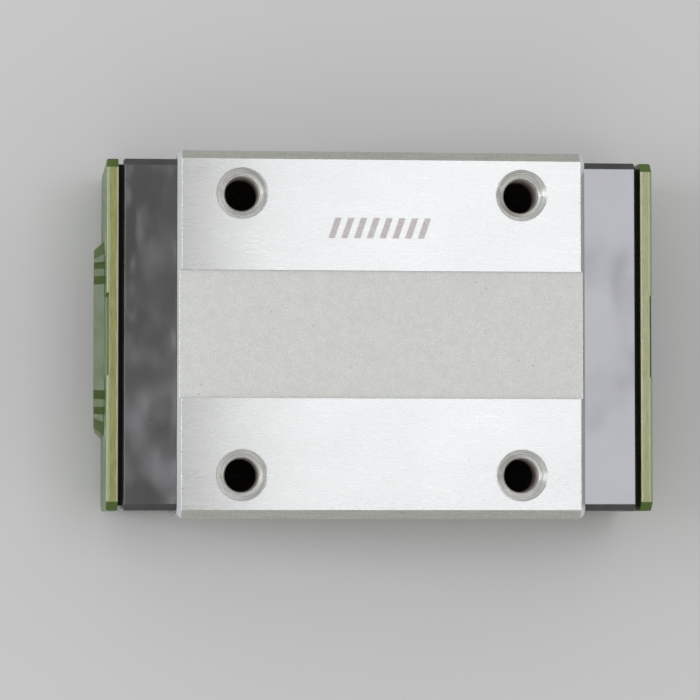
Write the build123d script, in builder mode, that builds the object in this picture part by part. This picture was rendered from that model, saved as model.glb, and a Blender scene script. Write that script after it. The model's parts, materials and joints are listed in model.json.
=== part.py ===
"""Linear guide carriage, size 15, narrow type with four tapped mounting holes.

X runs along the rail, Y across it and +Z is up. The origin is the middle of the underside of the
steel legs. All lengths are in millimetres. The "left" end is at -X and the "right" end at +X, the
"front" leg is at -Y and the "rear" leg at +Y.
"""

import os
from math import cos, pi, radians, sin, tan

from build123d import *

os.makedirs("parts", exist_ok=True)

# --- driving dimensions -------------------------------------------------------------------------

# steel body
BODY_LENGTH = 37.9
BODY_WIDTH = 34.0
BODY_HEIGHT = 19.7
LEG_RELIEF = 0.25          # the legs are this much narrower than the ground reference sides
REFERENCE_BOTTOM = 9.5     # lowest point of the ground reference sides
LONG_CHAMFER = 0.8
END_CHAMFER = 0.42
LEG_CHAMFER = 0.6
STRIP_HALF_WIDTH = 5.9     # sunk strip between the two mounting pads
STRIP_DEPTH = 0.2

# mounting holes
HOLE_PITCH = 26.0
TAP_RADIUS = 1.65
HOLE_DEPTH = 5.0
HOLE_SINK_RADIUS = 2.4
DRILL_POINT_ANGLE = 118.0

# balls and their circuits
BALL_RADIUS = 1.389
BALL_PITCH = 2.95
STRAIGHT_BALLS = 13
TURN_BALLS = 3
TURN_RADIUS = TURN_BALLS * BALL_PITCH / pi
TURN_TILT = 12.5           # degrees, the turn planes fan apart towards the outside
LOADED_Y = 7.4
LOADED_Z = {"upper": 9.4, "lower": 4.8}
TILT_SIGN = {"upper": 1, "lower": -1}
TANGENT_X = STRAIGHT_BALLS * BALL_PITCH / 2
CHANNEL_RADIUS = 1.47
RACEWAY_RADIUS = 1.434
RETAINER_RADIUS = 1.45

# return tubes
TUBE_RADIUS = 2.0
TUBE_BORE_RADIUS = 1.5
TUBE_END_GAP = 0.03

# rail that the carriage fits; only its clearance is used
RAIL_GROOVE_RADIUS = 1.44
LIP_CLEARANCE = 0.15

# end caps
CAP_FACE_X = 23.9
CAP_STEP_X = 24.35
CAP_HALF_WIDTH = 16.25
CAP_BOTTOM = 0.4
CAP_TOP = 18.7
CAP_CHAMFER = 0.6
CAP_EDGE_BREAK = 0.15
STEP_HALF_WIDTH = 15.8
STEP_BOTTOM = 1.0
STEP_TOP = 17.2

# return guides
GUIDE_HALF_THICKNESS = 1.9
GUIDE_GAP = 0.02
WEB_HALF_WIDTH = 1.0
WEB_X = 19.9

# seal plates and lips
PLATE_X = 25.45
PLATE_HALF_WIDTH = 16.25
PLATE_BOTTOM = 0.6
PLATE_TOP = 18.65
PLATE_CORNER = 0.8
PLATE_ROUND = 0.22
PLATE_RECESS_HALF_WIDTH = 3.8
PLATE_RECESS_BOTTOM = 13.1
PLATE_RECESS_DEPTH = 0.25
LIP_TIP_X = 26.47
LIP_BOTTOM = 0.9
LIP_LEAN = 1.8             # degrees, the tip's face leans in towards the foot

# end screws, M2 countersunk
SCREW_Y = 9.0
SCREW_Z = 15.2
SCREW_RADIUS = 0.98
SCREW_HOLE_RADIUS = 1.0
SCREW_CLEARANCE_RADIUS = 1.1
SCREW_LENGTH = 10.0
SCREW_HEAD_RADIUS = 1.8
SCREW_HEAD_SINK = 0.05
SCREW_SLOT_LENGTH = 2.0
SCREW_SLOT_WIDTH = 0.36
SCREW_SLOT_DEPTH = 0.55
SCREW_HOLE_DEPTH = 4.5

# grease ports, M3
PORT_Z = 15.0
PORT_RADIUS = 1.5
PORT_BOTTOM_X = 20.9
PORT_PLATE_RADIUS = 1.75
DUCT_RADIUS = 0.6
PLUG_GAP = 0.02
PLUG_LENGTH = 3.2
PLUG_CHAMFER = 0.3
HEX_ACROSS_FLATS = 1.5
HEX_DEPTH = 1.3
GREASE_WIDTH = 0.8
GREASE_DEPTH = 0.6
GREASE_Z = 13.4

# ball retainers and side seals
STRIP_HALF_LENGTH = BODY_LENGTH / 2 - 0.05
SEAL_OUTER_Y = 10.5
SEAL_LIP_Y = 7.65

ENDS = {"left": -1, "right": 1}
SIDES = {"front": -1, "rear": 1}
ROWS = ("upper", "lower")

HALF_LENGTH = BODY_LENGTH / 2
HALF_WIDTH = BODY_WIDTH / 2

# --- outlines across the rail, drawn for +Y, from the top of the channel round to the top face ---

BODY_OUTLINE = [
    (5.2, 11.5),
    (5.2, 12.3),
    (6.9, 12.3),
    (6.9, 11.2),
    (7.3, 10.5),
    (8.5, 9.2),
    (8.9, 8.9),
    (9.6, 8.7),
    (9.6, 5.5),
    (8.9, 5.3),
    (8.5, 5.0),
    (7.6, 3.8),
    (8.6, 2.6),
    (10.6, 2.6),
    (10.6, 0.0),
    (HALF_WIDTH - LEG_RELIEF - LEG_CHAMFER, 0.0),
    (HALF_WIDTH - LEG_RELIEF, LEG_CHAMFER),
    (HALF_WIDTH - LEG_RELIEF, REFERENCE_BOTTOM - LEG_RELIEF),
    (HALF_WIDTH, REFERENCE_BOTTOM),
    (HALF_WIDTH, BODY_HEIGHT),
]
RAIL_OUTLINE = [
    (7.5, -1.0),
    (7.5, 0.4),
    (5.7, 1.5),
    (5.7, 4.9),
    (7.5, 5.6),
    (7.5, 8.6),
    (6.0, 9.7),
    (5.0, 10.7),
]
CAP_OPENING = [
    (7.95, CAP_BOTTOM - 1),
    (7.95, 0.75),
    (6.45, 1.9),
    (6.45, 5.45),
    (7.95, 6.1),
    (7.95, 8.1),
    (6.45, 8.75),
    (6.45, 9.95),
    (5.25, 11.15),
]
LIP_THROAT_OUTLINE = [
    (8.6, LIP_BOTTOM),
    (8.6, 9.6),
    (7.7, 10.8),
    (6.4, 11.6),
    (4.9, 12.3),
]
LIP_BASE_OUTLINE = [
    (9.2, LIP_BOTTOM),
    (9.2, 9.7),
    (7.95, 11.3),
    (7.2, 11.3),
    (6.5, 12.1),
    (5.8, 12.1),
    (5.0, 12.9),
]
LIP_TIP_OUTLINE = [
    (8.3, LIP_BOTTOM),
    (8.3, 9.4),
    (7.5, 10.85),
    (7.1, 10.85),
    (6.5, 11.65),
    (5.75, 11.65),
    (4.95, 12.45),
]
UPPER_RETAINER = [
    (5.25, 12.25),
    (5.25, 10.95),
    (6.144, 10.125),
    (7.2, 10.125),
    (6.85, 10.742),
    (6.85, 12.25),
]
LOWER_RETAINER = [
    (6.144, 4.075),
    (6.1, 2.1),
    (6.5, 1.6),
    (7.25, 0.95),
    (10.5, 0.95),
    (10.5, 2.55),
    (8.5, 2.55),
    (7.775, 3.4),
    (7.775, 4.075),
]
MIDDLE_RETAINER = [
    (7.75, 5.55),
    (9.55, 5.55),
    (9.55, 8.65),
    (7.75, 8.65),
]
SIDE_SEAL = [
    (SEAL_LIP_Y, 0.2),
    (8.1, 0.1),
    (SEAL_OUTER_Y, 0.1),
    (SEAL_OUTER_Y, 0.9),
    (8.4, 0.9),
    (SEAL_LIP_Y, 0.45),
]


# --- helpers ------------------------------------------------------------------------------------


def end_plane(end, x):
    """A plane across the rail at distance x from the middle, facing out of that end."""
    return Plane(origin=(end * x, 0, 0), x_dir=(0, end, 0), z_dir=(end, 0, 0))


def both_sides(points):
    """The points of a +Y outline followed by those of its mirror image."""
    return points + [(-y, z) for y, z in reversed(points)]


def one_side(points, side):
    """The points of a closed outline on the front or the rear side."""
    return [(side * y, z) for y, z in points]


def return_point(row):
    """Where a return row crosses the YZ plane on the +Y side, as (y, z)."""
    tilt = radians(TURN_TILT)
    y = LOADED_Y + 2 * TURN_RADIUS * cos(tilt)
    z = LOADED_Z[row] + TILT_SIGN[row] * 2 * TURN_RADIUS * sin(tilt)
    return y, z


def turn_plane(end, side, row):
    """Plane of one ball turn: origin at its centre, x towards the loaded row, y out of the end."""
    return_y, return_z = return_point(row)
    loaded_end = Vector(end * TANGENT_X, side * LOADED_Y, LOADED_Z[row])
    return_end = Vector(end * TANGENT_X, side * return_y, return_z)
    to_loaded = (loaded_end - return_end).normalized()
    return Plane(
        origin=(loaded_end + return_end) / 2,
        x_dir=to_loaded,
        z_dir=to_loaded.cross(Vector(end, 0, 0)),
    )


def cut_ball_channels(end, side):
    """Cut both turns of one leg, with their straight mouths, out of the current part."""
    mouth = end_plane(end, TANGENT_X)
    for row in ROWS:
        loaded_place = (end * side * LOADED_Y, LOADED_Z[row])
        return_y, return_z = return_point(row)
        with BuildSketch(mouth) as mouths:
            with Locations(loaded_place, (end * side * return_y, return_z)):
                Circle(CHANNEL_RADIUS)
        extrude(mouths.sketch, amount=HALF_LENGTH - TANGENT_X - 1, mode=Mode.SUBTRACT)
        with BuildSketch(mouth) as turn_section:
            with Locations(loaded_place):
                Circle(CHANNEL_RADIUS)
        turn = turn_plane(end, side, row)
        turn_axis = Axis(turn.origin, turn.z_dir)
        revolve(turn_section.sketch, turn_axis, 180, mode=Mode.SUBTRACT)


def cut_tube_seats(end, side):
    """Cut the seats of one leg's return tubes out of the current part."""
    with BuildSketch(end_plane(end, TANGENT_X)) as seats:
        for row in ROWS:
            seat_y, seat_z = return_point(row)
            with Locations((end * side * seat_y, seat_z)):
                Circle(TUBE_RADIUS)
    extrude(seats.sketch, amount=HALF_LENGTH - TANGENT_X - 1, mode=Mode.SUBTRACT)


def cut_rail_opening(end):
    """Cut the rail's way out of an end cap or return guide."""
    with BuildSketch(end_plane(end, HALF_LENGTH - 1)) as opening:
        with BuildLine():
            Polyline(*both_sides(CAP_OPENING), close=True)
        make_face()
    extrude(opening.sketch, amount=CAP_STEP_X - HALF_LENGTH + 2, mode=Mode.SUBTRACT)


def guide_solid(end, side, grow, mode):
    """Add or cut two half pulleys and their web; grow widens them into the cap's pocket."""
    start_x = HALF_LENGTH + GUIDE_GAP - grow
    turns = [turn_plane(end, side, row) for row in ROWS]
    for turn in turns:
        with BuildSketch(turn.offset(-GUIDE_HALF_THICKNESS - grow)) as pulley:
            Circle(TURN_RADIUS + grow)
        extrude(pulley.sketch, amount=2 * (GUIDE_HALF_THICKNESS + grow), mode=mode)
    web_y = end * turns[0].origin.Y
    web_z = [turn.origin.Z for turn in turns]
    with BuildSketch(end_plane(end, start_x)) as web:
        with Locations((web_y, sum(web_z) / 2)):
            Rectangle(2 * (WEB_HALF_WIDTH + grow), max(web_z) - min(web_z))
    extrude(web.sketch, amount=WEB_X + grow - start_x, mode=mode)


def ball_row_positions(y, z):
    """Centres of the balls in one straight row."""
    first = -TANGENT_X + BALL_PITCH / 2
    return [(first + i * BALL_PITCH, y, z) for i in range(STRAIGHT_BALLS)]


# --- steel body ---------------------------------------------------------------------------------

with BuildPart() as carriage_body:
    with BuildSketch(Plane.YZ):
        with BuildLine():
            Polyline(*both_sides(BODY_OUTLINE), close=True)
        make_face()
    extrude(amount=HALF_LENGTH, both=True)
    top_corners = carriage_body.edges().filter_by(Axis.X).group_by(Axis.Z)[-1]
    chamfer(top_corners, LONG_CHAMFER)
    outer_end_edges = carriage_body.edges().filter_by(
        lambda edge: abs(abs(edge.center().X) - HALF_LENGTH) < 0.01
        and (
            edge.center().Z > BODY_HEIGHT - LONG_CHAMFER - 0.1
            or abs(edge.center().Y) > HALF_WIDTH - LEG_RELIEF - LEG_CHAMFER
        )
    )
    chamfer(outer_end_edges, END_CHAMFER)

    # sunk strip between the pads
    with BuildSketch(Plane.XY.offset(BODY_HEIGHT)):
        Rectangle(BODY_LENGTH + 2, 2 * STRIP_HALF_WIDTH)
    extrude(amount=-STRIP_DEPTH, mode=Mode.SUBTRACT)

    # ball raceways
    with BuildSketch(Plane.YZ):
        for row in ROWS:
            with Locations((LOADED_Y, LOADED_Z[row]), (-LOADED_Y, LOADED_Z[row])):
                Circle(RACEWAY_RADIUS)
    extrude(amount=HALF_LENGTH, both=True, mode=Mode.SUBTRACT)

    # return bores
    with BuildSketch(Plane.YZ):
        for row in ROWS:
            bore_y, bore_z = return_point(row)
            with Locations((bore_y, bore_z), (-bore_y, bore_z)):
                Circle(TUBE_RADIUS)
    extrude(amount=HALF_LENGTH, both=True, mode=Mode.SUBTRACT)

    # tapped mounting holes with a countersink and a drill point
    point_depth = TAP_RADIUS / tan(radians(DRILL_POINT_ANGLE / 2))
    with BuildSketch(Plane.XZ) as hole_section:
        with BuildLine():
            Polyline(
                (0, 0),
                (HOLE_SINK_RADIUS, 0),
                (TAP_RADIUS, TAP_RADIUS - HOLE_SINK_RADIUS),
                (TAP_RADIUS, -HOLE_DEPTH),
                (0, -HOLE_DEPTH - point_depth),
                close=True,
            )
        make_face()
    hole_tool = revolve(hole_section.sketch, axis=Axis.Z, mode=Mode.PRIVATE)
    with Locations((0, 0, BODY_HEIGHT)):
        with GridLocations(HOLE_PITCH, HOLE_PITCH, 2, 2):
            add(hole_tool, mode=Mode.SUBTRACT)

    # end screw holes
    for end in ENDS.values():
        with BuildSketch(end_plane(end, HALF_LENGTH)):
            with Locations((SCREW_Y, SCREW_Z), (-SCREW_Y, SCREW_Z)):
                Circle(SCREW_HOLE_RADIUS)
        extrude(amount=-SCREW_HOLE_DEPTH, mode=Mode.SUBTRACT)

carriage_body.part.label = "carriage_body"
export_step(carriage_body.part, "parts/carriage_body.step")


# --- return tubes: plastic liners of the bores through the steel ----------------------------------

for row in ROWS:
    for side_name, side in SIDES.items():
        tube_y, tube_z = return_point(row)
        with BuildPart() as return_tube:
            with BuildSketch(Plane.YZ):
                with Locations((side * tube_y, tube_z)):
                    Circle(TUBE_RADIUS)
                    Circle(TUBE_BORE_RADIUS, mode=Mode.SUBTRACT)
            extrude(amount=TANGENT_X - TUBE_END_GAP, both=True)
        return_tube.part.label = f"return_tube_{row}_{side_name}"
        export_step(return_tube.part, f"parts/return_tube_{row}_{side_name}.step")


# --- ball retainers: strips that keep the loaded balls in when the rail is out --------------------

RETAINERS = {"upper": UPPER_RETAINER, "middle": MIDDLE_RETAINER, "lower": LOWER_RETAINER}

for retainer_name, outline in RETAINERS.items():
    for side_name, side in SIDES.items():
        with BuildPart() as retainer:
            with BuildSketch(Plane.YZ):
                with BuildLine():
                    Polyline(*one_side(outline, side), close=True)
                make_face()
                for row in ROWS:
                    with Locations((side * LOADED_Y, LOADED_Z[row])):
                        Circle(RETAINER_RADIUS, mode=Mode.SUBTRACT)
            extrude(amount=STRIP_HALF_LENGTH, both=True)
        retainer.part.label = f"ball_retainer_{retainer_name}_{side_name}"
        export_step(retainer.part, f"parts/ball_retainer_{retainer_name}_{side_name}.step")


# --- side seals: green strips under the legs ------------------------------------------------------

for side_name, side in SIDES.items():
    with BuildPart() as side_seal:
        with BuildSketch(Plane.YZ):
            with BuildLine():
                Polyline(*one_side(SIDE_SEAL, side), close=True)
            make_face()
        extrude(amount=STRIP_HALF_LENGTH, both=True)
    side_seal.part.label = f"side_seal_{side_name}"
    export_step(side_seal.part, f"parts/side_seal_{side_name}.step")


# --- end caps -----------------------------------------------------------------------------------

for end_name, end in ENDS.items():
    with BuildPart() as end_cap:
        with BuildSketch(end_plane(end, HALF_LENGTH)):
            with Locations((0, (CAP_TOP + CAP_BOTTOM) / 2)):
                Rectangle(2 * CAP_HALF_WIDTH, CAP_TOP - CAP_BOTTOM)
        extrude(amount=CAP_FACE_X - HALF_LENGTH)
        chamfer(end_cap.edges().filter_by(Axis.X), CAP_CHAMFER)
        outer_face = end_cap.faces().sort_by(Axis.X)[-1 if end > 0 else 0]
        chamfer(outer_face.edges(), CAP_EDGE_BREAK)

        # low step that spaces the seal plate off the cap
        with BuildSketch(end_plane(end, CAP_FACE_X)):
            with Locations((0, (STEP_TOP + STEP_BOTTOM) / 2)):
                Rectangle(2 * STEP_HALF_WIDTH, STEP_TOP - STEP_BOTTOM)
        extrude(amount=CAP_STEP_X - CAP_FACE_X)

        cut_rail_opening(end)
        for side in SIDES.values():
            guide_solid(end, side, GUIDE_GAP, Mode.SUBTRACT)
            cut_ball_channels(end, side)
            cut_tube_seats(end, side)

        # end screw clearance holes
        with BuildSketch(end_plane(end, HALF_LENGTH)):
            with Locations((SCREW_Y, SCREW_Z), (-SCREW_Y, SCREW_Z)):
                Circle(SCREW_CLEARANCE_RADIUS)
        extrude(amount=CAP_STEP_X - HALF_LENGTH, mode=Mode.SUBTRACT)

        # grease port, its duct and the groove that feeds both legs
        with BuildSketch(end_plane(end, CAP_STEP_X)):
            with Locations((0, PORT_Z)):
                Circle(PORT_RADIUS)
        extrude(amount=PORT_BOTTOM_X - CAP_STEP_X, mode=Mode.SUBTRACT)
        with BuildSketch(end_plane(end, PORT_BOTTOM_X)):
            with Locations((0, PORT_Z)):
                Circle(DUCT_RADIUS)
        extrude(amount=HALF_LENGTH - PORT_BOTTOM_X, mode=Mode.SUBTRACT)
        groove_reach = turn_plane(end, 1, "upper").origin.Y
        groove_low = turn_plane(end, 1, "upper").origin.Z + GUIDE_HALF_THICKNESS
        with BuildSketch(end_plane(end, HALF_LENGTH)):
            with Locations((0, GREASE_Z)):
                Rectangle(2 * groove_reach + GREASE_WIDTH, GREASE_WIDTH)
            with Locations((0, (GREASE_Z + PORT_Z) / 2)):
                Rectangle(GREASE_WIDTH, PORT_Z - GREASE_Z)
            for groove_y in (-groove_reach, groove_reach):
                with Locations((groove_y, (GREASE_Z + groove_low) / 2)):
                    Rectangle(GREASE_WIDTH, GREASE_Z - groove_low)
        extrude(amount=GREASE_DEPTH, mode=Mode.SUBTRACT)
    end_cap.part.label = f"end_cap_{end_name}"
    export_step(end_cap.part, f"parts/end_cap_{end_name}.step")


# --- return guides: half pulleys that form the inner side of the ball turns -----------------------

for end_name, end in ENDS.items():
    for side_name, side in SIDES.items():
        with BuildPart() as return_guide:
            guide_solid(end, side, 0, Mode.ADD)
            with BuildSketch(end_plane(end, HALF_LENGTH + GUIDE_GAP)):
                Rectangle(3 * BODY_WIDTH, 3 * BODY_HEIGHT)
            extrude(amount=-BODY_LENGTH / 4, mode=Mode.SUBTRACT)
            cut_ball_channels(end, side)
            cut_tube_seats(end, side)
            cut_rail_opening(end)
        return_guide.part.label = f"return_guide_{end_name}_{side_name}"
        export_step(return_guide.part, f"parts/return_guide_{end_name}_{side_name}.step")


# --- end seal plates ----------------------------------------------------------------------------

for end_name, end in ENDS.items():
    with BuildPart() as seal_plate:
        with BuildSketch(end_plane(end, CAP_STEP_X)):
            with Locations((0, (PLATE_TOP + PLATE_BOTTOM) / 2)):
                Rectangle(2 * PLATE_HALF_WIDTH, PLATE_TOP - PLATE_BOTTOM)
        extrude(amount=PLATE_X - CAP_STEP_X)
        chamfer(seal_plate.edges().filter_by(Axis.X), PLATE_CORNER)
        outer_face = seal_plate.faces().sort_by(Axis.X)[-1 if end > 0 else 0]
        fillet(outer_face.edges(), PLATE_ROUND)

        # throat that holds the seal lip
        with BuildSketch(end_plane(end, CAP_STEP_X)):
            with BuildLine():
                Polyline(*both_sides(LIP_THROAT_OUTLINE), close=True)
            make_face()
            with Locations((0, LIP_BOTTOM)):
                Rectangle(2 * LIP_THROAT_OUTLINE[0][0], 2 * LIP_BOTTOM)
        extrude(amount=PLATE_X - CAP_STEP_X, mode=Mode.SUBTRACT)

        # shallow recess over the grease port
        with BuildSketch(end_plane(end, PLATE_X)):
            with Locations((0, (PLATE_TOP + PLATE_RECESS_BOTTOM) / 2)):
                Rectangle(2 * PLATE_RECESS_HALF_WIDTH, PLATE_TOP - PLATE_RECESS_BOTTOM)
        extrude(amount=-PLATE_RECESS_DEPTH, mode=Mode.SUBTRACT)
        with BuildSketch(end_plane(end, PLATE_X)):
            with Locations((0, PORT_Z)):
                Circle(PORT_PLATE_RADIUS)
        extrude(amount=CAP_STEP_X - PLATE_X, mode=Mode.SUBTRACT)

        # countersunk screw holes
        with Locations(end_plane(end, PLATE_X)):
            with Locations((SCREW_Y, SCREW_Z), (-SCREW_Y, SCREW_Z)):
                CounterSinkHole(SCREW_CLEARANCE_RADIUS, SCREW_HEAD_RADIUS + SCREW_HEAD_SINK)
    seal_plate.part.label = f"seal_plate_{end_name}"
    export_step(seal_plate.part, f"parts/seal_plate_{end_name}.step")


# --- seal lips: soft collars that wipe the rail ---------------------------------------------------

for end_name, end in ENDS.items():
    with BuildPart() as seal_lip:
        # body inside the plate's throat
        with BuildSketch(end_plane(end, CAP_STEP_X)):
            with BuildLine():
                Polyline(*both_sides(LIP_THROAT_OUTLINE), close=True)
            make_face()
        extrude(amount=PLATE_X - CAP_STEP_X)
        # tapered collar outside the plate
        with BuildSketch(end_plane(end, PLATE_X)):
            with BuildLine():
                Polyline(*both_sides(LIP_BASE_OUTLINE), close=True)
            make_face()
        with BuildSketch(end_plane(end, LIP_TIP_X)):
            with BuildLine():
                Polyline(*both_sides(LIP_TIP_OUTLINE), close=True)
            make_face()
        loft(ruled=True)
        tip_normal = (end * cos(radians(LIP_LEAN)), 0, -sin(radians(LIP_LEAN)))
        tip_edge = (end * LIP_TIP_X, 0, LIP_TIP_OUTLINE[-1][1])
        split(bisect_by=Plane(origin=tip_edge, z_dir=tip_normal), keep=Keep.BOTTOM)
        # rail shape, with a small clearance
        with BuildSketch(end_plane(end, CAP_STEP_X - 1)):
            with BuildLine():
                Polyline(*both_sides(RAIL_OUTLINE), close=True)
            make_face()
            for row in ROWS:
                with Locations((LOADED_Y, LOADED_Z[row]), (-LOADED_Y, LOADED_Z[row])):
                    Circle(RAIL_GROOVE_RADIUS, mode=Mode.SUBTRACT)
            offset(amount=LIP_CLEARANCE, kind=Kind.INTERSECTION)
        extrude(amount=LIP_TIP_X - CAP_STEP_X + 2, mode=Mode.SUBTRACT)
    seal_lip.part.label = f"seal_lip_{end_name}"
    export_step(seal_lip.part, f"parts/seal_lip_{end_name}.step")


# --- end screws ---------------------------------------------------------------------------------

for end_name, end in ENDS.items():
    with BuildPart() as end_screws:
        for screw_y in (-SCREW_Y, SCREW_Y):
            screw_plane = end_plane(end, PLATE_X - SCREW_HEAD_SINK)
            with BuildSketch(screw_plane):
                with Locations((screw_y, SCREW_Z)):
                    Circle(SCREW_HEAD_RADIUS)
            extrude(amount=SCREW_RADIUS - SCREW_HEAD_RADIUS, taper=45)
            with BuildSketch(screw_plane):
                with Locations((screw_y, SCREW_Z)):
                    Circle(SCREW_RADIUS)
            extrude(amount=-SCREW_LENGTH)
            with BuildSketch(screw_plane):
                with Locations((screw_y, SCREW_Z)):
                    Rectangle(SCREW_SLOT_LENGTH, SCREW_SLOT_WIDTH)
                    Rectangle(SCREW_SLOT_WIDTH, SCREW_SLOT_LENGTH)
            extrude(amount=-SCREW_SLOT_DEPTH, mode=Mode.SUBTRACT)
    end_screws.part.label = f"end_screws_{end_name}"
    export_step(end_screws.part, f"parts/end_screws_{end_name}.step")


# --- grease port plugs --------------------------------------------------------------------------

for end_name, end in ENDS.items():
    with BuildPart() as grease_plug:
        plug_face = end_plane(end, PORT_BOTTOM_X + PLUG_LENGTH)
        with BuildSketch(plug_face):
            with Locations((0, PORT_Z)):
                Circle(PORT_RADIUS - PLUG_GAP)
        extrude(amount=-PLUG_LENGTH)
        chamfer(grease_plug.edges().filter_by(GeomType.CIRCLE), PLUG_CHAMFER)
        with BuildSketch(plug_face):
            with Locations((0, PORT_Z)):
                RegularPolygon(HEX_ACROSS_FLATS / 2, 6, major_radius=False)
        extrude(amount=-HEX_DEPTH, mode=Mode.SUBTRACT)
    grease_plug.part.label = f"grease_plug_{end_name}"
    export_step(grease_plug.part, f"parts/grease_plug_{end_name}.step")


# --- balls: each circuit is a loaded row, a return row and a turn at each end ----------------------

for row in ROWS:
    for side_name, side in SIDES.items():
        circuit = f"{row}_{side_name}"
        straight_rows = {
            "loaded_balls": (side * LOADED_Y, LOADED_Z[row]),
            "return_balls": (side * return_point(row)[0], return_point(row)[1]),
        }
        for row_name, (row_y, row_z) in straight_rows.items():
            with BuildPart() as ball_row:
                with Locations(*ball_row_positions(row_y, row_z)):
                    Sphere(BALL_RADIUS)
            ball_row.part.label = f"{row_name}_{circuit}"
            export_step(ball_row.part, f"parts/{row_name}_{circuit}.step")

        for end_name, end in ENDS.items():
            with BuildPart() as turn_balls:
                with Locations(turn_plane(end, side, row).location):
                    with PolarLocations(TURN_RADIUS, TURN_BALLS, 180 / TURN_BALLS / 2, 180):
                        Sphere(BALL_RADIUS)
            turn_balls.part.label = f"turn_balls_{end_name}_{circuit}"
            export_step(turn_balls.part, f"parts/turn_balls_{end_name}_{circuit}.step")
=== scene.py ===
"""Looks of the linear guide carriage: materials, small visual pieces, studio light and camera.

Every object is in metres in the frame of the CAD model: X along the rail, Y across it, +Z up, with the
origin at the middle of the underside. Material patterns are worked out in millimetres.
"""

import json
from math import cos, pi, radians, sin

import bmesh
import bpy
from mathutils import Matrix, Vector


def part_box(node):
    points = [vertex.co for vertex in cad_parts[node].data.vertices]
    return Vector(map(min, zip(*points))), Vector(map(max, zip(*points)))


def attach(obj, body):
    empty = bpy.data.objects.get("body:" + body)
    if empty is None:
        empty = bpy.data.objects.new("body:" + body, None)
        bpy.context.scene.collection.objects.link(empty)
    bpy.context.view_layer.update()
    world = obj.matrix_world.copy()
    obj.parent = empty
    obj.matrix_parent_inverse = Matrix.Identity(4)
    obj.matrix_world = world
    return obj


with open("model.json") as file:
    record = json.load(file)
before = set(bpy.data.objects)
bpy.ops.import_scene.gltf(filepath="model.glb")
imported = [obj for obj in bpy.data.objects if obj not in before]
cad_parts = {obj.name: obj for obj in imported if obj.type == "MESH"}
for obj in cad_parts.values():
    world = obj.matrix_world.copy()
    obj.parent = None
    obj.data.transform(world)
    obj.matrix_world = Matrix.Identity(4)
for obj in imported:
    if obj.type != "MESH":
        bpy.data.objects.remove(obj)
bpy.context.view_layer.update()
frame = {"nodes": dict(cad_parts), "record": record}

MM = 0.001
HOME_BODY = "carriage"

# places on the steel body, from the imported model
BODY_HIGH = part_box("carriage_body")[1]
TOP_Z = BODY_HIGH.z
BOLTS = next(m for m in frame["record"]["mounts"] if m["name"] == "mounting_holes")
HOLE_X = BOLTS["dims"]["spacing_x_mm"] / 2 * MM
HOLE_Y = BOLTS["dims"]["spacing_y_mm"] / 2 * MM
HOLE_RADIUS = BOLTS["dims"]["hole_r_mm"] * MM

# the same for the material masks, in millimetres
TOP = TOP_Z / MM
HALF_WIDTH = BODY_HIGH.y / MM
PAD_MARGIN = 0.05          # the strip is sunk by more than this
STRIP_MARGIN = 1.0         # and by less than this
CHAMFER_REACH = 0.9        # a little more than the width of the long chamfers
LEG_MARGIN = 0.12          # the legs are narrower than the ground sides by more than this
SINK_RADIUS = 2.4          # countersink of the mounting holes, at the top face
SINK_DEPTH = SINK_RADIUS - HOLE_RADIUS / MM
HOLE_REACH = 8.0           # more than the depth of the holes
SHADE_FROM = 3.2            # painted shade: the holes are painted black between these two depths
SHADE_TO = 5.0

# end parts, in millimetres
PLATE_LOW, PLATE_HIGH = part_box("seal_plate_right")
CORE_FACE_X = PLATE_LOW.x / MM + 0.76    # outer face of the core inside the seal plate
CORE_RIM = 0.62                          # its pale rim, partly edge wear and partly painted highlight, starts this far inside that face
CUT_HALF_WIDTH = PLATE_HIGH.y / MM - 0.83
CAP_FACE_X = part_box("end_cap_right")[1].x / MM - 0.44    # where the cap steps down to the plate; the top of that step is painted black as painted shade

# plain etched mark on the rear pad, in millimetres
MARK_X = -0.25
MARK_Y = 9.85
MARK_LENGTH = 9.5
MARK_WIDTH = 1.9
MARK_BARS = 8
MARK_SLANT = 0.35

# ridges in the mounting holes
THREAD_PITCH = 0.7 * MM
THREAD_DEPTH = 0.11 * MM
THREAD_TURNS = 6
THREAD_STEPS = 48          # per turn
THREAD_TOP = TOP_Z - 0.95 * MM
THREAD_WALL = HOLE_RADIUS - 0.005 * MM
THREAD_HALF_BASE = THREAD_PITCH * 0.42
THREAD_HALF_CREST = THREAD_HALF_BASE * 0.15
THREAD_LEAST = 0.02        # share of the depth left where the ridge runs out

# floor, light and camera
FLOOR_Z = -0.05 * MM       # just clear of the undersides of the legs
FLOOR_HALF_SIZE = 1.5
HORIZON_LIGHT = 0.56
ZENITH_LIGHT = 0.80
SKY_TINT = (1.0, 1.0, 0.965, 1.0)
CAMERA_PLACE = (-34.6 * MM, -18.1 * MM, 347.2 * MM)
CAMERA_TURN = (radians(2.898), radians(-5.508), 0.0)
SENSOR_WIDTH = 36.0
LENS = 183.6
CLIP_START = 0.01


# --- node helpers -------------------------------------------------------------------------------


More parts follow.
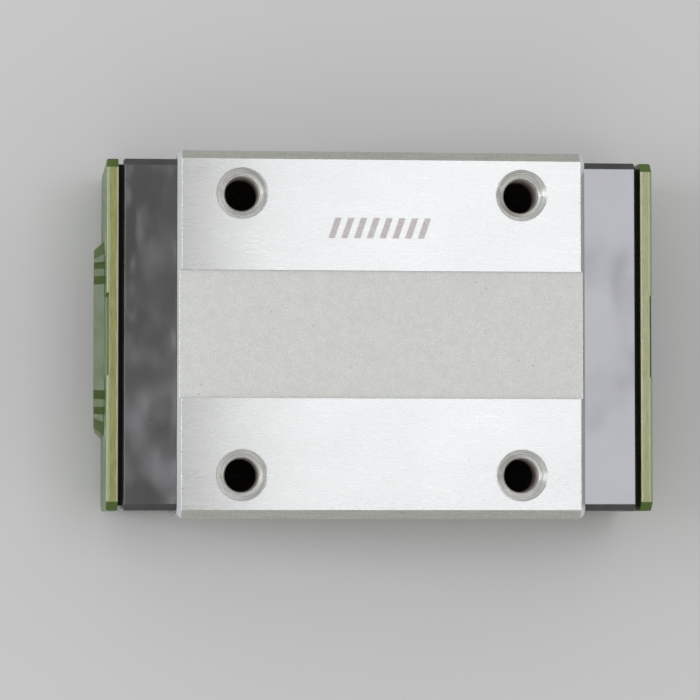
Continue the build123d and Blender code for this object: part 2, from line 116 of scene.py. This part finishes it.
class Paint:
    """One procedural material, with short calls for the nodes that it uses most."""

    def __init__(self, name):
        self.material = bpy.data.materials.new(name)
        self.material.use_nodes = True
        self.nodes = self.material.node_tree.nodes
        self.links = self.material.node_tree.links
        self.shader = self.nodes["Principled BSDF"]
        coords = self.nodes.new("ShaderNodeTexCoord")
        self.mm = self.vector("SCALE", coords.outputs["Object"], scale=1 / MM)
        self.x, self.y, self.z = self.split(self.mm)
        geometry = self.nodes.new("ShaderNodeNewGeometry")
        self.normal = geometry.outputs["True Normal"]
        self.nx, self.ny, self.nz = self.split(self.normal)

    def put(self, socket, value):
        """Link an output to a socket, or set the socket's own value."""
        if isinstance(value, bpy.types.NodeSocket):
            self.links.new(value, socket)
        else:
            socket.default_value = value

    def set(self, name, value):
        """Set or link an input of the shader."""
        self.put(self.shader.inputs[name], value)

    def split(self, vector):
        node = self.nodes.new("ShaderNodeSeparateXYZ")
        self.put(node.inputs[0], vector)
        return node.outputs[0], node.outputs[1], node.outputs[2]

    def join(self, x, y, z):
        node = self.nodes.new("ShaderNodeCombineXYZ")
        for socket, value in zip(node.inputs, (x, y, z)):
            self.put(socket, value)
        return node.outputs[0]

    def vector(self, operation, a, b=None, scale=None):
        node = self.nodes.new("ShaderNodeVectorMath")
        node.operation = operation
        self.put(node.inputs[0], a)
        if b is not None:
            self.put(node.inputs[1], b)
        if scale is not None:
            self.put(node.inputs["Scale"], scale)
        return node.outputs["Value" if operation in ("LENGTH", "DOT_PRODUCT") else "Vector"]

    def math(self, operation, a, b=0.0, c=0.0):
        node = self.nodes.new("ShaderNodeMath")
        node.operation = operation
        for socket, value in zip(node.inputs, (a, b, c)):
            self.put(socket, value)
        return node.outputs[0]

    def ramp(self, value, low, high, to_low=0.0, to_high=1.0):
        """Map low..high to to_low..to_high, smoothly and clamped."""
        node = self.nodes.new("ShaderNodeMapRange")
        node.interpolation_type = "SMOOTHSTEP"
        for socket, number in zip(node.inputs, (value, low, high, to_low, to_high)):
            self.put(socket, number)
        return node.outputs[0]

    def mix(self, factor, a, b):
        """Blend two colours."""
        node = self.nodes.new("ShaderNodeMix")
        node.data_type = "RGBA"
        self.put(node.inputs[0], factor)
        self.put(node.inputs[6], a)
        self.put(node.inputs[7], b)
        return node.outputs[2]

    def blend(self, factor, a, b):
        """Blend two numbers."""
        node = self.nodes.new("ShaderNodeMix")
        self.put(node.inputs[0], factor)
        self.put(node.inputs[2], a)
        self.put(node.inputs[3], b)
        return node.outputs[0]

    def noise(self, per_mm, detail=3.0, roughness=0.55, seed=0.0, at=None):
        """Noise with so many cells per millimetre along X, Y and Z; one number means all three."""
        if not isinstance(per_mm, tuple):
            per_mm = (per_mm, per_mm, per_mm)
        place = self.vector("MULTIPLY", self.mm if at is None else at, per_mm)
        place = self.vector("ADD", place, (seed, seed * 0.37, seed * 1.71))
        node = self.nodes.new("ShaderNodeTexNoise")
        self.put(node.inputs["Vector"], place)
        node.inputs["Scale"].default_value = 1.0
        node.inputs["Detail"].default_value = detail
        node.inputs["Roughness"].default_value = roughness
        return node.outputs[0]

    def dots(self, per_mm, size, seed=0.0):
        """Scattered small round spots, 1 inside and 0 outside; size is a share of the cell."""
        place = self.vector("MULTIPLY", self.mm, (per_mm, per_mm, per_mm))
        place = self.vector("ADD", place, (seed, seed, seed))
        node = self.nodes.new("ShaderNodeTexVoronoi")
        self.put(node.inputs["Vector"], place)
        node.inputs["Scale"].default_value = 1.0
        return self.ramp(node.outputs["Distance"], size, size * 0.4)

    def above(self, value, limit, soft=0.02):
        """1 over the limit and 0 under it."""
        return self.ramp(value, limit - soft, limit + soft)

    def below(self, value, limit, soft=0.02):
        """1 under the limit and 0 over it."""
        return self.math("SUBTRACT", 1.0, self.above(value, limit, soft))

    def size(self, value):
        """The value without its sign."""
        return self.math("ABSOLUTE", value)

    def share(self, mask, amount):
        """A mask made weaker."""
        return self.math("MULTIPLY", mask, amount)

    def both(self, *masks):
        """1 where every mask is 1."""
        result = masks[0]
        for mask in masks[1:]:
            result = self.math("MULTIPLY", result, mask)
        return result

    def edges(self, width_mm):
        """1 along sharp edges, fading out over width_mm; from the bevelled normal."""
        bevel = self.nodes.new("ShaderNodeBevel")
        bevel.samples = 4
        bevel.inputs["Radius"].default_value = width_mm * MM
        along = self.vector("DOT_PRODUCT", bevel.outputs[0], self.normal)
        return self.ramp(along, 0.995, 0.85)

    def bump(self, height, depth_mm, strength=1.0, rounding_mm=0.0):
        """Bump from a height of 0 to 1, so many millimetres deep, over edges rounded by rounding_mm."""
        node = self.nodes.new("ShaderNodeBump")
        node.inputs["Strength"].default_value = strength
        node.inputs["Distance"].default_value = depth_mm * MM
        self.put(node.inputs["Height"], height)
        if rounding_mm:
            bevel = self.nodes.new("ShaderNodeBevel")
            bevel.samples = 4
            bevel.inputs["Radius"].default_value = rounding_mm * MM
            self.put(node.inputs["Normal"], bevel.outputs[0])
        self.set("Normal", node.outputs[0])


def grey(level, lean=0.0):
    """A grey as RGBA; a positive lean is to brown and a negative one to blue."""
    return (level * (1 + lean), level, level * (1 - lean), 1.0)


def warm(level, blue=0.98):
    """The slightly yellow grey of bare steel."""
    return (level, level * 1.01, level * blue, 1.0)


# --- materials ----------------------------------------------------------------------------------


def hatch_mark(p, grain):
    """A plain etched row of slanted bars on the rear pad."""
    x = p.math("SUBTRACT", p.x, MARK_X)
    y = p.math("SUBTRACT", p.y, MARK_Y)
    inside_x = p.below(p.size(x), MARK_LENGTH / 2, 0.03)
    inside_y = p.below(p.size(y), MARK_WIDTH / 2, 0.03)
    half_pitch = MARK_LENGTH / MARK_BARS / 2
    bars = p.math("PINGPONG", p.math("MULTIPLY_ADD", y, -MARK_SLANT, x), half_pitch)
    solid = p.above(bars, half_pitch / 2, 0.04)
    return p.both(inside_x, inside_y, solid, p.ramp(grain, 0.25, 0.6, 0.45, 0.85))


def around_holes(p):
    """Distance from the nearest mounting hole's axis, and turning marks round that axis."""
    from_x = p.math("SUBTRACT", p.size(p.x), HOLE_X / MM)
    from_y = p.math("SUBTRACT", p.size(p.y), HOLE_Y / MM)
    radial = p.vector("LENGTH", p.join(from_x, from_y, 0.0))
    around = p.vector("NORMALIZE", p.join(from_x, from_y, 0.0))
    turned = p.vector("ADD", p.vector("SCALE", around, scale=0.35), p.join(0.0, 0.0, radial))
    return radial, p.noise((1.0, 1.0, 7.0), 3.0, 0.65, 4.0, turned)


def body_regions(p, radial):
    """Masks of the differently finished faces of the steel body."""
    side = p.size(p.y)
    upward = p.above(p.nz, 0.95)
    sloped = p.both(p.above(p.nz, 0.4), p.below(p.nz, 0.9))
    outside = p.above(side, HALF_WIDTH - CHAMFER_REACH)
    leg_side = p.both(p.above(p.size(p.ny), 0.9), p.below(side, HALF_WIDTH - LEG_MARGIN))
    in_hole = p.both(p.below(radial, SINK_RADIUS + 0.03, 0.01), p.below(p.z, TOP - 0.01, 0.005))
    sink = p.both(in_hole, p.above(p.z, TOP - HOLE_REACH))
    return {
        "pads": p.both(upward, p.above(p.z, TOP - PAD_MARGIN)),
        "strip": p.both(upward, p.below(p.z, TOP - PAD_MARGIN), p.above(p.z, TOP - STRIP_MARGIN)),
        "long_chamfer": p.both(sloped, outside, p.above(p.size(p.ny), 0.5)),
        "end_chamfer": p.both(sloped, p.above(p.size(p.nx), 0.5)),
        "leg": p.both(leg_side, outside),
        "sink": sink,
        "wall": p.both(sink, p.below(p.z, TOP - SINK_DEPTH + 0.01, 0.03)),
        # painted shade: black lower down in the holes
        "deep": p.both(sink, p.ramp(p.z, TOP - SHADE_FROM, TOP - SHADE_TO)),
    }


def body_marks(p, rings):
    """Noise patterns of the steel body. The grinding lines run along X."""
    fine = p.noise((1.1, 12.0, 12.0), 3.0, 0.6, 3.0)
    coarse = p.noise((0.35, 4.4, 4.4), 4.0, 0.65, 11.0)
    return {
        "lines": p.math("MULTIPLY_ADD", fine, 0.55, p.math("MULTIPLY", coarse, 0.45)),
        "coarse": coarse,
        "clouds": p.noise((0.12, 0.16, 0.16), 3.0, 0.5, 5.0),
        "grain": p.noise(9.0, 3.0, 0.7, 2.0),
        "lumps": p.noise(1.3, 3.0, 0.6, 9.0),
        "grit": p.noise(5.5, 2.0, 0.6, 14.0),
        "rings": rings,
    }


def pad_colour(p, marks):
    colour = p.mix(p.ramp(marks["lines"], 0.34, 0.66), warm(0.39), warm(0.475))
    colour = p.mix(p.ramp(marks["clouds"], 0.35, 0.7, 0.0, 0.5), colour, warm(0.465))
    return p.mix(hatch_mark(p, marks["grain"]), colour, ETCHED)


def strip_colour(p, marks):
    colour = p.mix(p.ramp(marks["grain"], 0.3, 0.7), warm(0.53), warm(0.73))
    colour = p.mix(p.ramp(marks["grit"], 0.35, 0.65, 0.0, 0.5), colour, warm(0.74))
    colour = p.mix(p.ramp(marks["lumps"], 0.3, 0.75, 0.0, 0.4), colour, warm(0.57))
    return p.mix(p.share(p.dots(0.55, 0.07, 4.0), 0.4), colour, grey(0.25, 0.15))


def long_chamfer_colour(p, marks):
    colour = p.mix(p.ramp(marks["coarse"], 0.3, 0.7), warm(0.46, 0.955), warm(0.56, 0.955))
    return p.mix(p.ramp(marks["grit"], 0.35, 0.65, 0.0, 0.7), colour, CHAMFER_GRIT)


def sink_colour(p, marks, radial):
    colour = p.mix(p.ramp(marks["rings"], 0.34, 0.62), warm(0.36), warm(0.70))
    return p.mix(p.ramp(radial, SINK_RADIUS - 0.18, SINK_RADIUS + 0.02), colour, warm(0.50, 0.955))


def steel_body_paint():
    """Ground pads, blasted strip, matte long chamfers, bright end chamfers and turned countersinks;
    painted shade blackens the holes lower down, and sharp edges get a painted highlight with some wear.
    """
    p = Paint("ground_steel")
    radial, rings = around_holes(p)
    regions = body_regions(p, radial)
    marks = body_marks(p, rings)
    lines, clouds, grain = marks["lines"], marks["clouds"], marks["grain"]

    # colour and roughness of each region, laid in this order over those of the ground sides
    finishes = {
        "pads": (pad_colour(p, marks), p.ramp(lines, 0.3, 0.7, 0.26, 0.31)),
        "strip": (strip_colour(p, marks), 0.9),
        "long_chamfer": (long_chamfer_colour(p, marks), 0.5),
        "end_chamfer": (p.mix(p.ramp(clouds, 0.3, 0.7), grey(0.84, -0.03), grey(0.92, -0.03)), 0.14),
        "leg": (p.mix(p.ramp(grain, 0.3, 0.7), grey(0.20, 0.02), grey(0.28, 0.02)), 0.55),
        "sink": (sink_colour(p, marks, radial), p.ramp(rings, 0.3, 0.7, 0.16, 0.30)),
        "wall": (p.mix(p.ramp(grain, 0.3, 0.7), grey(0.62, 0.08), grey(0.80, 0.06)), 0.5),
        # painted shade lower down in the holes
        "deep": (grey(0.010, 0.1), 0.6),
    }
    colour = p.mix(p.ramp(lines, 0.3, 0.7), grey(0.45), grey(0.58))
    roughness = p.ramp(lines, 0.3, 0.7, 0.34, 0.46)
    for region, (paint, rough) in finishes.items():
        colour = p.mix(regions[region], colour, paint)
        roughness = p.blend(regions[region], roughness, rough)
    # painted highlight along the sharp edges, partly edge wear too, kept out of the painted shade in the
    # holes
    worn_edge_and_highlight = p.both(p.edges(0.07), p.math("SUBTRACT", 1.0, regions["deep"]))
    p.set("Base Color", p.mix(p.share(worn_edge_and_highlight, 0.5), colour, grey(0.85)))
    p.set("Roughness", roughness)
    p.set("Metallic", p.blend(regions["strip"], 1.0, 0.3))

    # the ground pads spread light across their grinding lines
    across = p.nodes.new("ShaderNodeTangent")
    across.direction_type = "RADIAL"
    across.axis = "X"
    p.set("Tangent", across.outputs[0])
    p.set("Anisotropic", regions["pads"])

    blasted = p.math("MULTIPLY_ADD", grain, 1.2, p.math("MULTIPLY", marks["lumps"], 0.6))
    height = p.blend(regions["pads"], lines, p.math("MULTIPLY", lines, 0.25))
    height = p.blend(regions["strip"], height, blasted)
    height = p.blend(regions["sink"], height, rings)
    p.bump(height, 0.004, 1.0, 0.05)
    return p.material


def cap_plastic_paint():
    """Black moulded plastic with a fine grain, faint streaks, hazy patches and dust; a painted highlight
    along the edges and painted shade on the step next to the seal plate.
    """
    p = Paint("black_plastic")
    grain = p.noise(14.0, 2.0, 0.6, 1.0)
    streaks = p.noise((1.1, 0.30, 0.6), 4.0, 0.6, 7.0)
    clouds = p.noise((0.20, 0.13, 0.2), 2.0, 0.5, 3.0)
    haze = p.noise((0.15, 0.11, 0.15), 2.0, 0.5, 21.0)
    dust = p.dots(1.1, 0.06, 2.0)
    mottle = p.math("MULTIPLY_ADD", streaks, 0.35, p.math("MULTIPLY", clouds, 0.65))
    # painted shade: the top of the step next to the seal plate is painted black and fully rough,
    # standing in for the shadow in the gap
    shaded_step = p.both(p.above(p.nz, 0.9), p.above(p.size(p.x), CAP_FACE_X))
    colour = p.mix(p.ramp(mottle, 0.35, 0.65), grey(0.003), grey(0.020, -0.05))
    colour = p.mix(p.share(dust, 0.3), colour, grey(0.35))
    # painted highlight: the edges are lightened
    colour = p.mix(p.share(p.edges(0.06), 0.25), colour, grey(0.12))
    p.set("Base Color", p.mix(shaded_step, colour, grey(0.002)))
    p.set("Roughness", p.blend(shaded_step, p.ramp(haze, 0.47, 0.80, 0.05, 0.20), 1.0))
    p.set("IOR", 1.6)
    p.set("Specular IOR Level", 0.8)
    height = p.math("MULTIPLY_ADD", grain, 0.006, clouds)
    p.bump(height, 0.05, 1.0, 0.07)
    return p.material


def seal_paint(name, core_edge, gloss):
    """Green nitrile rubber; core_edge adds the khaki edge of the core plate along the cut faces. Edges
    are lightened, partly as wear and partly as painted highlight.
    """
    p = Paint(name)
    marbling = p.noise(0.5, 3.0, 0.5, 6.0)
    grain = p.noise(16.0, 2.0, 0.6, 2.0)
    specks = p.dots(1.4, 0.08, 5.0)
    colour = p.mix(p.ramp(marbling, 0.25, 0.75), GREEN_DARK, GREEN_LIGHT)
    cut = 0.0
    if core_edge:
        # the rubber is pale where the tool cut it, made paler as painted sheen on its rounded outer
        # edge, and the core shows inboard of it
        cut = p.both(p.above(p.nz, 0.35), p.below(p.size(p.y), CUT_HALF_WIDTH))
        wander = p.math("MULTIPLY", p.math("SUBTRACT", p.noise(0.5, 3.0, 0.6, 3.0), 0.5), 0.3)
        depth = p.math("SUBTRACT", p.size(p.x), CORE_FACE_X)
        inwards = p.math("MULTIPLY", p.math("ADD", depth, wander), -1.0)
        core = p.above(inwards, 0.0, 0.05)
        streaks = p.noise((3.0, 0.5, 1.0), 3.0, 0.6, 9.0)
        core_colour = p.mix(p.ramp(streaks, 0.3, 0.7), KHAKI_DARK, KHAKI_LIGHT)
        # the core's inner rim is lightened, partly as wear and partly as painted highlight
        core_colour = p.mix(p.above(inwards, CORE_RIM, 0.06), core_colour, KHAKI_RIM_WEAR_AND_HIGHLIGHT)
        colour = p.mix(cut, colour, p.mix(core, CUT_AND_SHEEN_GREEN, core_colour))
    # edges lightened, partly wear and partly painted highlight
    colour = p.mix(p.share(p.edges(0.06), 0.25), colour, WORN_AND_HIGHLIGHT_GREEN)
    colour = p.mix(p.share(specks, 0.3), colour, PALE_DUST)
    p.set("Base Color", colour)
    p.set("Roughness", p.blend(cut, p.ramp(marbling, 0.3, 0.7, 0.24, 0.34), 0.16))
    p.set("Specular IOR Level", gloss)
    p.bump(grain, 0.002, 0.8, 0.08)
    return p.material


def pale_plastic_paint(name, level, lean):
    """Natural acetal plastic of the parts inside."""
    p = Paint(name)
    clouds = p.noise(0.7, 3.0, 0.5, 8.0)
    p.set("Base Color", p.mix(p.ramp(clouds, 0.3, 0.7), grey(level * 0.92, lean), grey(level, lean)))
    p.set("Roughness", p.ramp(clouds, 0.3, 0.7, 0.34, 0.45))
    p.bump(p.noise(10.0, 2.0), 0.002, 0.6, 0.05)
    return p.material


def turned_steel_paint(name, level, lean, rough):
    """Small fasteners: turned marks across the axis and slightly blackened."""
    p = Paint(name)
    marks = p.noise((1.0, 8.0, 8.0), 3.0, 0.6, 4.0)
    colour = p.mix(p.ramp(marks, 0.3, 0.7), grey(level * 0.8, lean), grey(level, lean))
    # edges lightened, partly wear and partly painted highlight
    colour = p.mix(p.share(p.edges(0.05), 0.5), colour, grey(0.75))
    p.set("Base Color", colour)
    p.set("Metallic", 1.0)
    p.set("Roughness", p.ramp(marks, 0.3, 0.7, rough, rough + 0.1))
    p.bump(marks, 0.002, 0.7, 0.04)
    return p.material


def ball_paint():
    """Polished bearing steel with faint lapping haze."""
    p = Paint("ball_steel")
    haze = p.noise(2.0, 3.0, 0.6, 2.0)
    p.set("Base Color", p.mix(p.ramp(haze, 0.3, 0.7), grey(0.72), grey(0.80)))
    p.set("Metallic", 1.0)
    p.set("Roughness", p.ramp(haze, 0.3, 0.7, 0.08, 0.16))
    return p.material


def floor_paint():
    """Plain pale floor."""
    p = Paint("pale_floor")
    clouds = p.noise(0.02, 2.0, 0.5, 1.0)
    p.set("Base Color", p.mix(clouds, grey(0.55), grey(0.58)))
    p.set("Roughness", 0.8)
    return p.material


GREEN_DARK = (0.050, 0.091, 0.008, 1.0)
GREEN_LIGHT = (0.066, 0.110, 0.012, 1.0)
CUT_AND_SHEEN_GREEN = (0.230, 0.300, 0.140, 1.0)
KHAKI_DARK = (0.165, 0.160, 0.028, 1.0)
KHAKI_LIGHT = (0.235, 0.228, 0.056, 1.0)
KHAKI_RIM_WEAR_AND_HIGHLIGHT = (0.320, 0.320, 0.190, 1.0)
WORN_AND_HIGHLIGHT_GREEN = (0.300, 0.380, 0.180, 1.0)
PALE_DUST = (0.550, 0.560, 0.420, 1.0)
ETCHED = (0.210, 0.180, 0.172, 1.0)
CHAMFER_GRIT = (0.620, 0.660, 0.590, 1.0)

PAINTS = {
    "ground_steel": steel_body_paint(),
    "black_plastic": cap_plastic_paint(),
    "plate_green": seal_paint("plate_green", True, 0.5),
    "seal_rubber": seal_paint("seal_rubber", False, 0.42),
    "guide_plastic": pale_plastic_paint("guide_plastic", 0.62, 0.03),
    "tube_plastic": pale_plastic_paint("tube_plastic", 0.56, 0.01),
    "retainer_plastic": pale_plastic_paint("retainer_plastic", 0.05, 0.0),
    "fastener_steel": turned_steel_paint("fastener_steel", 0.40, 0.02, 0.28),
    "ball_steel": ball_paint(),
}

for subpart in frame["record"]["subparts"]:
    node = frame["nodes"][subpart["node"]]
    for material_slot in node.material_slots:
        material_slot.material = PAINTS[subpart["material_slot"]]


# --- visual pieces ------------------------------------------------------------------------------


def add_piece(name, mesh_data, paint):
    """A mesh object with a material, riding on the carriage body."""
    mesh = bpy.data.meshes.new(name)
    mesh_data.to_mesh(mesh)
    mesh_data.free()
    mesh.materials.append(paint)
    piece = bpy.data.objects.new(name, mesh)
    bpy.context.collection.objects.link(piece)
    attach(piece, HOME_BODY)
    return piece


def thread_ridge(name, centre_x, centre_y):
    """A helical ridge of triangular section on the wall of one tapped hole."""
    last = THREAD_TURNS * THREAD_STEPS
    data = bmesh.new()
    rows = []
    for i in range(last + 1):
        angle = 2 * pi * i / THREAD_STEPS
        fade = min(1.0, i / THREAD_STEPS * 2, (last - i) / THREAD_STEPS * 2)
        reach = THREAD_WALL - THREAD_DEPTH * max(fade, THREAD_LEAST)
        height = THREAD_TOP - THREAD_PITCH * i / THREAD_STEPS
        section = (
            (THREAD_WALL, THREAD_HALF_BASE),
            (reach, THREAD_HALF_CREST),
            (reach, -THREAD_HALF_CREST),
            (THREAD_WALL, -THREAD_HALF_BASE),
        )
        rows.append(
            [
                data.verts.new((centre_x + r * cos(angle), centre_y + r * sin(angle), height + rise))
                for r, rise in section
            ]
        )
    for upper, lower in zip(rows, rows[1:]):
        for k in range(4):
            data.faces.new((upper[k], upper[(k + 1) % 4], lower[(k + 1) % 4], lower[k]))
    data.faces.new(rows[0][::-1])
    data.faces.new(rows[-1])
    bmesh.ops.recalc_face_normals(data, faces=data.faces)
    return add_piece(name, data, PAINTS["ground_steel"])


HOLE_NAMES = {"left_front": (-1, -1), "left_rear": (-1, 1), "right_front": (1, -1), "right_rear": (1, 1)}
for hole_name, (x_sign, y_sign) in HOLE_NAMES.items():
    thread_ridge(f"hole_thread_{hole_name}", x_sign * HOLE_X, y_sign * HOLE_Y)


# --- floor, light and camera ----------------------------------------------------------------------


def add_floor():
    data = bmesh.new()
    bmesh.ops.create_grid(data, x_segments=1, y_segments=1, size=FLOOR_HALF_SIZE)
    mesh = bpy.data.meshes.new("floor")
    data.to_mesh(mesh)
    data.free()
    mesh.materials.append(floor_paint())
    floor = bpy.data.objects.new("floor", mesh)
    floor.location.z = FLOOR_Z
    bpy.context.collection.objects.link(floor)


def add_softbox(name, place, aim, size, radiance, tint):
    """A rectangular area light at place, facing aim."""
    light = bpy.data.lights.new(name, "AREA")
    light.shape = "RECTANGLE"
    light.size, light.size_y = size
    light.energy = radiance * pi * light.size * light.size_y
    light.color = tint
    box = bpy.data.objects.new(name, light)
    box.location = place
    box.rotation_euler = (Vector(aim) - Vector(place)).to_track_quat("-Z", "Y").to_euler()
    bpy.context.collection.objects.link(box)


def add_world():
    """A pale dome, brighter overhead than at the horizon."""
    world = bpy.data.worlds.new("studio")
    world.use_nodes = True
    nodes = world.node_tree.nodes
    links = world.node_tree.links
    coords = nodes.new("ShaderNodeTexCoord")
    split = nodes.new("ShaderNodeSeparateXYZ")
    rise = nodes.new("ShaderNodeMapRange")
    links.new(coords.outputs["Generated"], split.inputs[0])
    links.new(split.outputs[2], rise.inputs["Value"])
    rise.inputs["To Min"].default_value = HORIZON_LIGHT
    rise.inputs["To Max"].default_value = ZENITH_LIGHT
    background = nodes["Background"]
    background.inputs["Color"].default_value = SKY_TINT
    links.new(rise.outputs[0], background.inputs["Strength"])
    bpy.context.scene.world = world


def add_camera():
    data = bpy.data.cameras.new("camera")
    data.sensor_width = SENSOR_WIDTH
    data.lens = LENS
    data.clip_start = CLIP_START
    camera = bpy.data.objects.new("camera", data)
    camera.location = CAMERA_PLACE
    camera.rotation_euler = CAMERA_TURN
    bpy.context.collection.objects.link(camera)
    bpy.context.scene.camera = camera


add_floor()
add_softbox(
    "key_softbox",
    place=(0.047, 0.023, 0.32),
    aim=(0.047, 0.023, 0.0),
    size=(0.090, 0.088),
    radiance=4.9,
    tint=(0.97, 0.98, 1.07),
)
add_softbox(
    "side_softbox",
    place=(-0.446, 0.02, 0.285),
    aim=(-0.026, 0.0, 0.012),
    size=(0.16, 0.30),
    radiance=5.6,
    tint=(0.98, 1.0, 1.05),
)
add_softbox(
    "top_softbox",
    place=(-0.083, 0.02, 0.62),
    aim=(-0.083, 0.02, 0.0),
    size=(0.15, 0.16),
    radiance=1.3,
    tint=(0.98, 0.98, 1.08),
)
add_world()
add_camera()
bpy.context.scene.view_settings.view_transform = "Standard"
